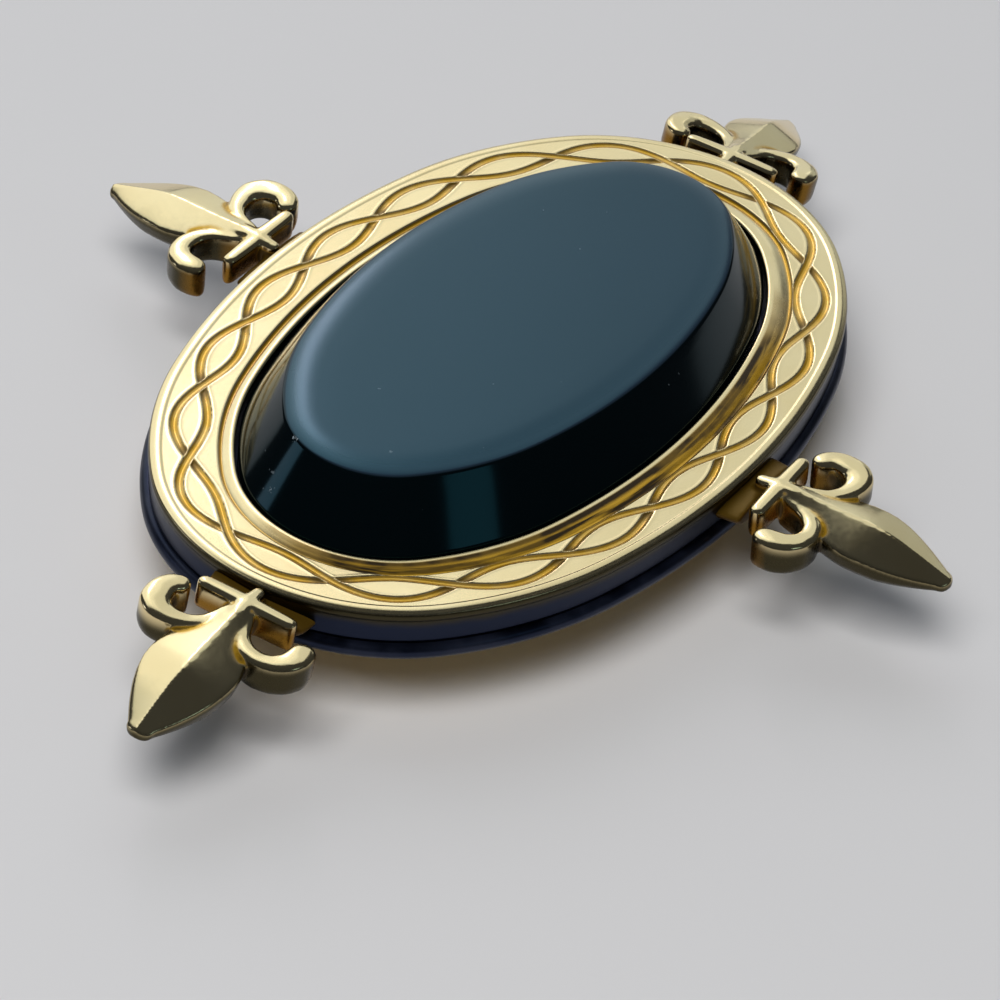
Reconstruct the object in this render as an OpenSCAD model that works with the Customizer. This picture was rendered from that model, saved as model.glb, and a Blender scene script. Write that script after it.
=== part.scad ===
// Oval brooch: a bevelled stone tablet in an engraved gold border, with a fleur-de-lis at each end of
// both axes, on a back plate with a pin. Millimetres, +Z up, long axis along X.
// The origin is the middle of the footprint, on the surface that the fittings of the pin rest on.

/* [Stone] */
// Length of the stone at its girdle
stone_l = 30; // [29:0.25:31]
// Width of the stone at its girdle
stone_w = 16; // [15.5:0.25:16.5]
// Length of the flat table on top of the stone
table_l = 26; // [25:0.25:27]
// Width of the flat table
table_w = 12.8; // [12:0.1:13.5]
// Radius of the two ends of the table
table_r = 3.9; // [3.7:0.1:4.1]
// Height of the table above the rim
table_rise = 2.4; // [1.5:0.1:3]
// Turn of the table against the border, in degrees
table_turn = -1.5; // [-2:0.5:2]

/* [Border] */
// Width of the gold border, from the stone's opening to the outer edge
border_w = 3.35; // [3.2:0.05:3.6]
// Radius of the two ends of the oval, at the outer edge
end_r = 9; // [8.8:0.1:9.2]
// Height of the border above the back plate
border_h = 1.45; // [1.4:0.05:1.8]
// Width of the rounded rim at the outer edge
rim_w = 0.62; // [0.55:0.01:0.65]
// Width of the rounded lip round the stone
lip_w = 0.36; // [0.3:0.01:0.4]
// Width of the hollow channel between the lip and the engraved band
channel_w = 0.48; // [0.4:0.02:0.5]
// Depth of the engraved band below the top of the rim
band_drop = 0.16; // [0.12:0.02:0.3]

/* [Engraving] */
// Number of places where the two waves cross
crossings = 18; // [14:2:22]
// Swing of a wave to each side of the band's middle
wave_swing = 0.64; // [0.5:0.02:0.66]
// Width of the cut line
cut_w = 0.46; // [0.3:0.02:0.54]
// Depth of the cut line
cut_d = 0.1; // [0.06:0.02:0.2]

/* [Fleurs-de-lis] */
// Reach of a fleur from the outer edge of the border to its tip
fleur_reach = 8.8; // [8:0.1:9.5]
// Length of the cross bar
bar_l = 4.3; // [3.6:0.1:4.5]
// Width of the middle petal
petal_w = 3.3; // [2.8:0.1:3.6]
// Width of the ribbon of a side petal
curl_w = 0.84; // [0.7:0.02:0.9]
// Distance from the middle of the fleur to the eye of a side petal
curl_side = 1.85; // [1.8:0.05:1.95]
// Fall of the middle petal towards its tip, in degrees
petal_droop = 7; // [5:0.5:8]
// Depth of the fleur's metal from its top down
fleur_depth = 1.5; // [1.3:0.05:1.6]

/* [Back] */
// Thickness of the back plate
plate_t = 0.65; // [0.5:0.05:0.8]
// Clearance under the back plate, taken up by the pin's fittings
pin_h = 2.85; // [2.5:0.05:3.5]
// Diameter of the pin's stem
stem_d = 0.9; // [0.7:0.05:1]
// Distance from the middle to the hinge block and to the catch
fitting_x = 12; // [10:0.5:13]

/* [Hidden] */

// The gap that separate pieces keep
seat_gap = 0.05;

// Heights, from the resting surface up
border_z = pin_h + plate_t + seat_gap;
rim_z = border_z + border_h;
band_z = rim_z - band_drop;
table_z = rim_z + table_rise;

// Half axes of the oval at the outer edge of the border
half_l = stone_l / 2 + seat_gap + border_w;
half_w = stone_w / 2 + seat_gap + border_w;

// An oval is drawn with three radii in each quarter, which change at these angles
shoulder_from = 49.5;
shoulder_to = 75;

// Distances in from the outer edge: the wall, the channel, the lip and the middle of the band
wall_in = 0.1;
lip_from = border_w - lip_w;
channel_from = lip_from - channel_w;
band_middle = (rim_w + channel_from) / 2;

// Heights of the hollow of the channel and of the crown of the lip
channel_step = 0.06;
channel_hollow = 0.2;
lip_crown = 0.18;
lip_rise = 0.1;

// The step under the rim, and the bead that the back plate's edge shows below the wall
rim_step = 0.12;
bead_r = plate_t / 2;

// Steps along each arc of an oval, along each lens of the engraving and over a rounded top
arc_steps = 12;
lens_steps = 10;
round_steps = 4;

// Places of a fleur's pieces: u runs outwards from the edge, and depths are below the top of the rim
root_u = -0.6;
bar_u = 1.05;
bar_w = 0.72;
bar_top = 0.02;
foot_w = 4.6;
foot_top = 0.6;
stem_u = 0.13;
stem_w = 0.66;
stem_top = 0.1;
stem_depth = border_h - stem_top - 0.05;
curl_u = 2.1;
curl_r = 1.25;
curl_from = -95;
curl_to = 95;
curl_top = 0.3;
knob_w = 1.1;

// The middle petal: its neck, its tip, its thickness and the fall of its slopes from the ridge
neck_u = 2;
tip_r = 0.42;
petal_top = 0.2;
petal_t = 1;
petal_fall = 0.5;
petal_steps = 20;

// The fleurs are soldered on by hand and sit a little unevenly. A row for each:
// [direction from the centre, shift outwards, shift along the edge, turn, fall towards the tip]
fleur_seats = [
    [0, -0.3, 0.5, 6, 10],
    [90, 0.1, -0.5, -4, 0],
    [180, 0, 0.5, 3.5, 0],
    [270, 0.25, -0.2, 1.5, 0]
];

// The radii [end, shoulder, side] that close a quarter of an oval with half axes a and b
function oval_radii(a, b, r) =
    let (
        c1 = cos(shoulder_from),
        s1 = sin(shoulder_from) - 1,
        c2 = cos(shoulder_to),
        s2 = sin(shoulder_to) - 1,
        d = c1 * s2 - c2 * s1,
        p = ((a - r) * s2 - c2 * (r - b)) / d,
        q = (c1 * (r - b) - s1 * (a - r)) / d
    )
    [r, r + p, r + p + q];

// The eight arcs of an oval, anticlockwise from its right end: [centre, radius, from, to]
function oval_arcs(a, b, r) =
    let (
        radii = oval_radii(a, b, r),
        cx = a - r - (radii[1] - r) * cos(shoulder_from),
        cy = -(radii[1] - r) * sin(shoulder_from),
        f = shoulder_from,
        t = shoulder_to
    )
    [
        [[a - r, 0], r, -f, f],
        [[cx, cy], radii[1], f, t],
        [[0, b - radii[2]], radii[2], t, 180 - t],
        [[-cx, cy], radii[1], 180 - t, 180 - f],
        [[r - a, 0], r, 180 - f, 180 + f],
        [[-cx, -cy], radii[1], 180 + f, 180 + t],
        [[0, radii[2] - b], radii[2], 180 + t, 360 - t],
        [[cx, -cy], radii[1], 360 - t, 360 - f]
    ];

function on_arc(arc, inset, angle) = arc[0] + (arc[1] - inset) * [cos(angle), sin(angle)];

// Points round an oval, set in from its edge
function oval_points(arcs, inset = 0) = [
    for (arc = arcs)
        for (i = [0 : arc_steps - 1])
            on_arc(arc, inset, arc[2] + (arc[3] - arc[2]) * i / arc_steps)
];

function arc_length(arc, inset) = (arc[1] - inset) * (arc[3] - arc[2]) * PI / 180;

function perimeter(arcs, inset, k = 0) =
    k == len(arcs) ? 0 : arc_length(arcs[k], inset) + perimeter(arcs, inset, k + 1);

// The arc and the angle on it at a distance s along an oval
function along(arcs, inset, s, k = 0) =
    let (l = arc_length(arcs[k], inset))
    s <= l || k == len(arcs) - 1
        ? [arcs[k], arcs[k][2] + s / l * (arcs[k][3] - arcs[k][2])]
        : along(arcs, inset, s - l, k + 1);

// Points of an arch from one place to another, which rises or sinks between them
function arch(from, to, z, rise) = [
    for (i = [0 : round_steps])
        let (a = 180 * i / round_steps)
        [(from + to) / 2 - (to - from) / 2 * cos(a), z + rise * sin(a)]
];

border_arcs = oval_arcs(half_l, half_w, end_r);
table_arcs = oval_arcs(table_l / 2, table_w / 2, table_r);

// Points of one edge of a wave, which swings about the middle of the band
function wave_points(swing, offset) =
    let (
        total = perimeter(border_arcs, band_middle),
        start = arc_length(border_arcs[0], band_middle) / 2,
        n = crossings * lens_steps
    )
    [
        for (i = [0 : n - 1])
            let (
                at = along(border_arcs, band_middle, (start + total * i / n) % total),
                inset = band_middle + swing * cos(180 * i / lens_steps) + offset
            )
            on_arc(at[0], inset, at[1])
    ];

// Half the width of the middle petal, from t = 0 at its neck to t = 1 at its tip
function petal_half(t) = tip_r + (petal_w / 2 - tip_r) * pow(abs(sin(180 * pow(t, 0.9))), 1.15);

// The triangles between two closed outlines of n points, which begin at the points a and b
function skin(a, b, n) = [
    for (i = [0 : n - 1])
        let (j = (i + 1) % n)
        each [[a + i, b + i, b + j], [a + i, b + j, a + j]]
];

// A solid through closed outlines, each given as [its points, its height] from the bottom up.
// An open loft is capped at both ends; a closed one runs on from the last outline to the first.
module loft(outlines, closed = false) {
    n = len(outlines[0][0]);
    count = len(outlines);
    points = [for (o = outlines) for (p = o[0]) [p[0], p[1], o[1]]];
    sides = [
        for (k = [0 : closed ? count - 1 : count - 2])
            each skin(k * n, (k + 1) % count * n, n)
    ];
    caps = closed ? [] : [
        [for (i = [0 : n - 1]) i],
        [for (i = [n - 1 : -1 : 0]) (count - 1) * n + i]
    ];
    polyhedron(points = points, faces = concat(sides, caps));
}

// Outlines that carry a section round the border; its points are [distance in from the edge, height]
function around_border(section) = [for (p = section) [oval_points(border_arcs, p[0]), p[1]]];

// Side wall, rounded rim, flat band, hollow channel and rounded lip
module border() {
    section = concat(
        [[wall_in, border_z], [wall_in, band_z - rim_step]],
        arch(0, rim_w, band_z, band_drop),
        [[channel_from, band_z]],
        arch(channel_from, lip_from, band_z - channel_step, -channel_hollow),
        arch(lip_from, border_w, rim_z + lip_rise - lip_crown, lip_crown),
        [[border_w, border_z]]
    );
    loft(around_border(section), closed = true);
}

// One engraved wave, as the metal that it takes away
module wave_cut(swing) {
    translate([0, 0, band_z - cut_d])
        difference() {
            linear_extrude(1) polygon(wave_points(swing, -cut_w / 2));
            translate([0, 0, -1]) linear_extrude(3) polygon(wave_points(swing, cut_w / 2));
        }
}

// Half of a bar's section: a straight side under a rounded top
function half_section(w, depth) = concat(
    [[0, -depth], [w / 2, -depth]],
    [for (i = [0 : round_steps]) let (a = 90 * i / round_steps) w / 2 * [cos(a), sin(a) - 1]]
);

function whole_section(w, depth) =
    let (half = half_section(w, depth), n = len(half))
    concat(
        [for (i = [1 : n - 1]) half[i]],
        [for (i = [n - 2 : -1 : 1]) [-half[i][0], half[i][1]]]
    );

// A straight bar along X with its top at zero
module bar(l, w, depth) {
    rotate([90, 0, 90]) linear_extrude(l) polygon(whole_section(w, depth));
}

// A round end, for a bar or for the tip of a curl
module bar_end(w, depth) {
    rotate_extrude($fn = 48) polygon(half_section(w, depth));
}

// A side petal: a ribbon that curls round its eye and ends in a knob
module curl() {
    translate([curl_u, curl_side, rim_z - curl_top]) {
        rotate([0, 0, curl_from])
            rotate_extrude(angle = curl_to - curl_from, $fn = 96)
                translate([curl_r, 0])
                    polygon(whole_section(curl_w, fleur_depth));
        translate((curl_r + 0.06) * [cos(curl_to), sin(curl_to), 0]) bar_end(knob_w, fleur_depth);
    }
}

// The middle petal: a leaf outline under two slopes that meet in a ridge and fall towards the tip
module middle_petal() {
    l = fleur_reach - tip_r - neck_u;
    side = [for (i = [0 : petal_steps]) let (t = i / petal_steps) [neck_u + l * t, petal_half(t)]];
    tip = [for (a = [60 : -30 : 0]) [fleur_reach - tip_r + tip_r * cos(a), tip_r * sin(a)]];
    half = concat(side, tip);
    outline = concat(half, [for (i = [len(half) - 2 : -1 : 0]) [half[i][0], -half[i][1]]]);
    // The slopes reach out to petal_w on each side, twice as far as the petal's edge
    drop = 2 * petal_fall;
    intersection() {
        linear_extrude(rim_z + 1) polygon(outline);
        translate([neck_u - 1, 0, rim_z - petal_top])
            rotate([0, petal_droop, 0])
                rotate([90, 0, 90])
                    linear_extrude(l + 3)
                        polygon([[-petal_w, -drop], [0, 0], [petal_w, -drop], [petal_w, -petal_t], [-petal_w, -petal_t]]);
    }
}

// One fleur-de-lis, which points along +X from the edge of the border at the origin
module fleur() {
    // Foot against the wall
    translate([root_u, -foot_w / 2, rim_z - fleur_depth + 0.2])
        cube([bar_u - root_u, foot_w, fleur_depth - foot_top - 0.2]);
    // Cross bar with round ends
    translate([bar_u, -bar_l / 2 + bar_w / 2, rim_z - bar_top])
        rotate([0, 0, 90]) bar(bar_l - bar_w, bar_w, fleur_depth - 0.3);
    for (side = [-1, 1])
        translate([bar_u, side * (bar_l - bar_w) / 2, rim_z - bar_top]) bar_end(bar_w, fleur_depth - 0.3);
    // Stem, from the foot through the bar to the neck of the middle petal
    translate([stem_u, 0, rim_z - stem_top]) bar(neck_u + 1 - stem_u, stem_w, stem_depth);
    middle_petal();
    curl();
    mirror([0, 1, 0]) curl();
}

module fleurs() {
    for (seat = fleur_seats) {
        reach = (abs(cos(seat[0])) > 0.5 ? half_l : half_w) + seat[1];
        rotate([0, 0, seat[0]])
            translate([reach, seat[2], rim_z])
                rotate([0, seat[4], seat[3]])
                    translate([0, 0, -rim_z]) fleur();
    }
}

// The soldered metal: the border with its engraving, and the four fleurs
module frame() {
    color("gold") {
        difference() {
            border();
            wave_cut(wave_swing);
            wave_cut(-wave_swing);
        }
        fleurs();
    }
}

function turned(points, angle) = [
    for (p = points) [p[0] * cos(angle) - p[1] * sin(angle), p[0] * sin(angle) + p[1] * cos(angle)]
];

// A tablet: an upright girdle inside the lip, a steep bevel and a flat table with a softened edge
module stone() {
    girdle = oval_points(border_arcs, border_w + seat_gap);
    soft = 0.12;
    color([0.06, 0.09, 0.09])
        loft([
            [girdle, border_z],
            [girdle, rim_z - 0.1],
            [turned(oval_points(table_arcs, -soft), table_turn), table_z - soft],
            [turned(oval_points(table_arcs, soft / 2), table_turn), table_z]
        ]);
}

// A flat plate whose rounded edge stands proud of the wall as a bead
module back_plate() {
    edge = [for (a = [-90 : 30 : 90]) [wall_in - bead_r * cos(a), pin_h + bead_r * (1 + sin(a))]];
    color("goldenrod") loft(around_border(edge));
}

// Hinge block, stem and catch in one plain piece, closed, with flat feet to rest on
module pin() {
    block_l = 3;
    block_w = 4.4;
    pad_t = 0.5;
    pad_r = 3.2;
    stem_z = 1.2;
    top = pin_h - seat_gap;
    color("goldenrod") {
        for (x = [-fitting_x, fitting_x]) {
            translate([x - block_l / 2, -block_w / 2, 0]) cube([block_l, block_w, top]);
            translate([x, 0, top - pad_t]) cylinder(h = pad_t, r = pad_r, $fn = 72);
        }
        translate([-fitting_x, 0, stem_z])
            rotate([0, 90, 0]) cylinder(h = 2 * fitting_x, d = stem_d, $fn = 72);
    }
}

frame();
stone();
back_plate();
pin();
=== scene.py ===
"""Oval brooch with a bevelled stone, an engraved border, four fleurs-de-lis and a pin.

Laid out as an add-on: each operator makes one part of the brooch over its solids, in metres.
Shapes are worked out in millimetres, with heights from the top of the rim, and scaled as they become meshes.
A fleur has its own directions: out from the border's edge, and across.
"""

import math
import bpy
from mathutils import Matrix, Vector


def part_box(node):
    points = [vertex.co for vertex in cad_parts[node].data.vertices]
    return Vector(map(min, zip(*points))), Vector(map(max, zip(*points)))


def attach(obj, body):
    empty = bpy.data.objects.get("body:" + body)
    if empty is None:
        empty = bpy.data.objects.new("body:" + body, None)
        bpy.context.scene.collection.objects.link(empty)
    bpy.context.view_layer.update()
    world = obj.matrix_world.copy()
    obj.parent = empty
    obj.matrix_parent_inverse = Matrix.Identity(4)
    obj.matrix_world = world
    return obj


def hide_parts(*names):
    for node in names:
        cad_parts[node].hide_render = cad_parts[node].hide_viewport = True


bl_info = {
    "name": "Oval Brooch",
    "version": (1, 0, 0),
    "blender": (4, 5, 0),
    "location": "View3D > Sidebar > Brooch",
    "description": "Dresses the solids of an oval brooch with cast gilt metal, a polished stone and a studio",
    "category": "Object",
}

import bpy
import numpy as np
from bpy.props import FloatProperty, FloatVectorProperty, IntProperty, PointerProperty
from mathutils import Matrix, Vector

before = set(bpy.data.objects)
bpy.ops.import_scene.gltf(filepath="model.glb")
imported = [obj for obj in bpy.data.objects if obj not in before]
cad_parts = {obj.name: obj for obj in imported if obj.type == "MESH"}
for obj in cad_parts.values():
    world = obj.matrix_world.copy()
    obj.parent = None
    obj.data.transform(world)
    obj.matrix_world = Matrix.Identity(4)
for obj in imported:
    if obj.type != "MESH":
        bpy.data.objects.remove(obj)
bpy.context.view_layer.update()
PLATE_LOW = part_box("back_plate")[0].z
PLATE_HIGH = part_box("back_plate")[1].z
PIN_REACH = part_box("pin")[1].x
PIN_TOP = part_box("pin")[1].z
STONE_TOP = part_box("stone")[1].z
MM = 0.001

# The angles at which the three radii of a quarter oval change
SHOULDERS = (math.radians(49.5), math.radians(75))

# Distances in from the border's edge, in millimetres: end of the rim, start of the channel, end of the lip
# and the stone's girdle
RIM = 0.6
CHANNEL = 2.5
LIP = 3.35
GIRDLE = 3.5

# Heights from the top of the rim, in millimetres: the engraved band, the foot of the border and the stone,
# the fleurs' underside and the point that a fleur turns about
BAND = -0.025
FOOT = -1.45
UNDERSIDE = -1.35
PIVOT = -0.5

# The fleurs' seats, a little uneven as soldered by hand: name, direction from the centre, shift outward and
# along the edge, turn, roll and pitch, width of the petal, side whose curl closes further
SEATS = (
    ("fleur_right", 0, (-0.3, 0.5), (6, 4, 7.5), 1.0, 1),
    ("fleur_back", 90, (0.1, -0.5), (-4, -5, -2), 1.0, -1),
    ("fleur_left", 180, (0, 0.5), (3.5, -4.5, -3), 1.1, -1),
    ("fleur_front", 270, (0.25, -0.2), (1.5, 1, -3), 1.06, 1),
)

# Profiles of the middle petal, places outward in millimetres and then the value at each: share of the full
# width, height of the ridge, fall from the ridge to the edge, thickness
PETAL_WIDTH = (
    (1.6, 2.1, 2.6, 3.1, 3.6, 4.2, 4.8, 5.4, 6.1, 6.8, 7.5, 8.0, 8.3, 8.8),
    (0.22, 0.32, 0.5, 0.7, 0.85, 0.95, 1.0, 0.98, 0.9, 0.76, 0.57, 0.41, 0.31, 0.15),
)
PETAL_RIDGE = (
    (1.6, 2.2, 2.8, 3.7, 5.0, 5.7, 6.3, 7.0, 7.8, 8.4, 8.75),
    (-0.02, -0.08, -0.16, -0.24, -0.34, -0.43, -0.6, -0.86, -1.18, -1.42, -1.55),
)
PETAL_FALL = ((1.6, 3.0, 5.0, 6.0, 8.8), (0.44, 0.46, 0.46, 0.5, 0.52))
PETAL_THICKNESS = ((1.6, 3.0, 6.0, 7.4, 8.8), (0.9, 1.0, 0.95, 0.6, 0.28))

# A side petal from the stem to its tip, in millimetres: out, across, half width, top
OPEN_CURL = (
    (1.4, 0.25, 0.26, -0.16),
    (1.9, 0.46, 0.29, -0.22),
    (2.35, 0.6, 0.31, -0.28),
    (2.8, 0.84, 0.34, -0.33),
    (3.18, 1.28, 0.38, -0.35),
    (3.34, 1.88, 0.42, -0.34),
    (3.2, 2.44, 0.48, -0.3),
    (2.86, 2.84, 0.54, -0.24),
    (2.42, 3.02, 0.57, -0.2),
    (2.05, 3.0, 0.54, -0.2),
)
CLOSED_CURL = (
    *OPEN_CURL[:5],
    (3.38, 1.9, 0.47, -0.34),
    (3.32, 2.5, 0.6, -0.3),
    (2.94, 2.92, 0.62, -0.24),
    *OPEN_CURL[8:],
    (1.76, 2.86, 0.5, -0.2),
    (1.62, 2.66, 0.47, -0.2),
)

# Chips in the stone, in millimetres from the resting surface: place, radius
CHIPS = (((-12.56, 2.18, 7.31), 0.6), ((-12.85, 2.75, 7.0), 0.3), ((-14.01, 2.14, 5.59), 0.45))

# The smaller panels: name, azimuth and elevation in degrees, distance, width and height, power, colour
PANELS = (
    ("window_far", (59, 32), 0.41, (0.212, 0.436), 0.1, (0.95, 0.97, 1.0)),
    ("window_low", (4, 14), 0.42, (0.15, 0.15), 0.03, (0.88, 0.97, 1.0)),
    ("window_left", (38.5, 36), 0.41, (0.137, 0.3), 0.045, (0.9, 0.97, 1.0)),
    ("window_core", (40.5, 36), 0.405, (0.03, 0.15), 0.062, (1.0, 0.79, 0.92)),
    ("card_front", (-94.3, 33), 0.3, (0.072, 0.06), 0.0125, (0.6, 0.9, 1.0)),
    ("card_side", (115.5, 18), 0.3, (0.06, 0.058), 0.022, (0.8, 0.85, 1.0)),
)


class BrassColours(bpy.types.PropertyGroup):
    """Colours of the gilt metal, and of the shade and reflections painted on it"""

    bright: FloatVectorProperty(
        name="Bright gilt", description="Polished surfaces", subtype="COLOR", size=4,
        default=(0.97, 0.82, 0.485, 1), min=0, max=1,
    )
    # Painted warm shade: gold reflecting itself in hollows, cuts and the channel; also a random warm tone
    warm: FloatVectorProperty(
        name="Warm gilt", description="Hollows and cuts", subtype="COLOR", size=4,
        default=(0.6, 0.34, 0.02, 1), min=0, max=1,
    )
    # Painted brown shade along cut edges, at crossings, in corners and on the fleurs' feet; real tarnished
    # patches on the plain back
    tarnish_and_shade: FloatVectorProperty(
        name="Tarnish and shade", description="Painted brown shade in corners and creases, and tarnished patches", subtype="COLOR", size=4,
        default=(0.045, 0.027, 0.008, 1), min=0, max=1,
    )
    # Painted shade on the sides of the castings and at the top of the border's wall
    olive: FloatVectorProperty(
        name="Olive side", description="Painted shade on the sides of the castings", subtype="COLOR", size=4,
        default=(0.06, 0.05, 0.026, 1), min=0, max=1,
    )
    # Painted warm reflection on the sides of the castings near the border
    amber: FloatVectorProperty(
        name="Amber root", description="Sides of the castings near the border", subtype="COLOR", size=4,
        default=(0.3, 0.15, 0.02, 1), min=0, max=1,
    )
    # Painted dark bluish reflection on the border's wall and the plate's edge
    side: FloatVectorProperty(
        name="Shaded side", description="Painted dark reflection on the side wall and edge of the plate", subtype="COLOR", size=4,
        default=(0.022, 0.028, 0.052, 1), min=0, max=1,
    )


class StoneColours(bpy.types.PropertyGroup):
    """Colours of the stone"""

    body: FloatVectorProperty(
        name="Body", description="Depth of the stone, as the bevel shows it", subtype="COLOR", size=4,
        default=(0.0008, 0.002, 0.0026, 1), min=0, max=1,
    )
    table: FloatVectorProperty(
        name="Table", description="Satin of the flat top", subtype="COLOR", size=4,
        default=(0.002, 0.007, 0.02, 1), min=0, max=1,
    )
    cloud: FloatVectorProperty(
        name="Cloud", description="Paler clouds in the flat top", subtype="COLOR", size=4,
        default=(0.003, 0.01, 0.03, 1), min=0, max=1,
    )
    # Painted sheen: a paler glow along the table's softened edge
    edge: FloatVectorProperty(
        name="Edge", description="Painted sheen along the table's edge", subtype="COLOR", size=4,
        default=(0.02, 0.035, 0.055, 1), min=0, max=1,
    )
    chip: FloatVectorProperty(
        name="Chips", description="Chips and grains of dust", subtype="COLOR", size=4,
        default=(0.3, 0.36, 0.4, 1), min=0, max=1,
    )
    shine: FloatVectorProperty(
        name="Shine", description="Tint of what the stone mirrors", subtype="COLOR", size=4,
        default=(0.25, 0.82, 1.0, 1), min=0, max=1,
    )


class BorderSizes(bpy.types.PropertyGroup):
    """Sizes of the oval border and its engraving"""

    half_length: FloatProperty(
        name="Half length", description="Centre to the outer edge along X", default=18.4 * MM, unit="LENGTH"
    )
    half_width: FloatProperty(
        name="Half width", description="Centre to the outer edge along Y", default=11.4 * MM, unit="LENGTH"
    )
    end_radius: FloatProperty(
        name="End radius", description="Radius of the oval's ends", default=9 * MM, unit="LENGTH"
    )
    rim_height: FloatProperty(
        name="Rim height", description="Resting surface to the top of the rim", default=5 * MM, unit="LENGTH"
    )
    crossings: IntProperty(
        name="Crossings", description="Places where the two waves cross", default=18, min=2
    )
    swing: FloatProperty(
        name="Swing", description="Swing of a wave to each side", default=0.64 * MM, unit="LENGTH"
    )
    cut_width: FloatProperty(
        name="Cut width", description="Width of an engraved line", default=0.37 * MM, unit="LENGTH"
    )
    cut_depth: FloatProperty(
        name="Cut depth", description="Depth of an engraved line", default=0.07 * MM, unit="LENGTH"
    )
    stations: IntProperty(
        name="Stations", description="Columns of the border's mesh", default=1080, min=96
    )


class FleurSizes(bpy.types.PropertyGroup):
    """Sizes of a fleur-de-lis"""

    petal_width: FloatProperty(
        name="Petal width", description="Width of the middle petal", default=3.3 * MM, unit="LENGTH"
    )
    bar_length: FloatProperty(
        name="Bar length", description="Length of the cross bar", default=4.3 * MM, unit="LENGTH"
    )
    depth: FloatProperty(
        name="Depth", description="Depth of the cast metal", default=1.4 * MM, unit="LENGTH"
    )
    voxel: FloatProperty(
        name="Grain", description="Cell of the mesh that joins a fleur's parts", default=0.065 * MM,
        unit="LENGTH",
    )
    melting: IntProperty(
        name="Melting", description="Rounds that soften the joins between a fleur's parts", default=9, min=0
    )


class StoneSizes(bpy.types.PropertyGroup):
    """Sizes of the stone"""

    table_length: FloatProperty(
        name="Table length", description="Length of the flat top", default=26 * MM, unit="LENGTH"
    )
    table_width: FloatProperty(
        name="Table width", description="Width of the flat top", default=12.8 * MM, unit="LENGTH"
    )
    table_radius: FloatProperty(
        name="Table radius", description="Radius of the table's ends", default=3.9 * MM, unit="LENGTH"
    )
    table_turn: FloatProperty(
        name="Table turn", description="Turn of the table in its border", default=math.radians(-1.5),
        unit="ROTATION",
    )
    edge: FloatProperty(
        name="Edge", description="Radius of the table's softened edge", default=0.32 * MM, unit="LENGTH"
    )


class PinSizes(bpy.types.PropertyGroup):
    """Sizes of the pin and its fittings"""

    pad_radius: FloatProperty(
        name="Pad radius", description="Radius of the pads under the plate", default=3.2 * MM, unit="LENGTH"
    )
    pad_thickness: FloatProperty(
        name="Pad thickness", description="Thickness of the pads", default=0.5 * MM, unit="LENGTH"
    )
    foot_length: FloatProperty(
        name="Foot length", description="Length of the block and the catch", default=3.0 * MM, unit="LENGTH"
    )
    foot_width: FloatProperty(
        name="Foot width", description="Width of the block and the catch", default=4.4 * MM, unit="LENGTH"
    )
    stem_radius: FloatProperty(
        name="Stem radius", description="Radius of the stem", default=0.45 * MM, unit="LENGTH"
    )
    stem_height: FloatProperty(
        name="Stem height", description="Resting surface to the stem's axis", default=1.2 * MM, unit="LENGTH"
    )


class StudioSettings(bpy.types.PropertyGroup):
    """Floor, lamps and camera"""

    floor: FloatVectorProperty(
        name="Floor", description="Colour of the floor", subtype="COLOR", size=4,
        default=(0.72, 0.72, 0.73, 1), min=0, max=1,
    )
    sky: FloatVectorProperty(
        name="Sky", description="Colour of the light from all round", subtype="COLOR", size=4,
        default=(0.55, 0.6, 0.68, 1), min=0, max=1,
    )
    sky_strength: FloatProperty(
        name="Sky strength", description="Strength of the light from all round", default=0.07, min=0
    )
    fill: FloatProperty(
        name="Fill", description="Power of the soft lamp overhead", default=1.95, unit="POWER"
    )
    window: FloatProperty(
        name="Window", description="Power of the wide panel behind", default=0.573, unit="POWER"
    )
    azimuth: FloatProperty(
        name="Azimuth", description="Camera's direction, from -Y", default=math.radians(-62.476),
        unit="ROTATION",
    )
    elevation: FloatProperty(
        name="Elevation", description="Camera's height angle", default=math.radians(37.350), unit="ROTATION"
    )
    roll: FloatProperty(
        name="Roll", description="Camera's roll", default=math.radians(7.419), unit="ROTATION"
    )
    distance: FloatProperty(
        name="Distance", description="Camera to what it aims at", default=201.70 * MM, unit="LENGTH"
    )
    aim_left: FloatProperty(
        name="Aim left", description="From the rim's centre to the aim, to the picture's left",
        default=0.366 * MM, unit="LENGTH",
    )
    aim_down: FloatProperty(
        name="Aim down", description="From the rim's centre to the aim, down the picture",
        default=5.724 * MM, unit="LENGTH",
    )
    lens: FloatProperty(
        name="Lens", description="Focal length in millimetres", default=181.25, unit="CAMERA"
    )


def oval(half_length, half_width, end_radius):
    """The eight arcs of an oval, anticlockwise from its right end: centre x, centre y, radius, from, to."""
    first, second = SHOULDERS
    across = np.array([[math.cos(first), math.cos(second)], [1 - math.sin(first), 1 - math.sin(second)]])
    step_1, step_2 = np.linalg.solve(across, [half_length - end_radius, half_width - end_radius])
    shoulder, side = end_radius + step_1, end_radius + step_1 + step_2
    x = half_length - end_radius - step_1 * math.cos(first)
    y = -step_1 * math.sin(first)
    half, whole = math.pi, 2 * math.pi
    return np.array([
        (half_length - end_radius, 0, end_radius, -first, first),
        (x, y, shoulder, first, second),
        (0, half_width - side, side, second, half - second),
        (-x, y, shoulder, half - second, half - first),
        (end_radius - half_length, 0, end_radius, half - first, half + first),
        (-x, -y, shoulder, half + first, half + second),
        (0, side - half_width, side, half + second, whole - second),
        (x, -y, shoulder, whole - second, whole - first),
    ])


def places_round(arcs, inset, count):
    """Stations evenly spaced round an oval from its +X end: the arc and the angle of each, and the length."""
    lengths = (arcs[:, 2] - inset) * (arcs[:, 4] - arcs[:, 3])
    edges = np.concatenate([[0], np.cumsum(lengths)])
    s = (lengths[0] / 2 + np.arange(count) * edges[-1] / count) % edges[-1]
    arc = np.clip(np.searchsorted(edges, s, side="right") - 1, 0, len(arcs) - 1)
    angle = arcs[arc, 3] + (s - edges[arc]) / (arcs[arc, 2] - inset)
    return (arc, angle), edges[-1]


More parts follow.
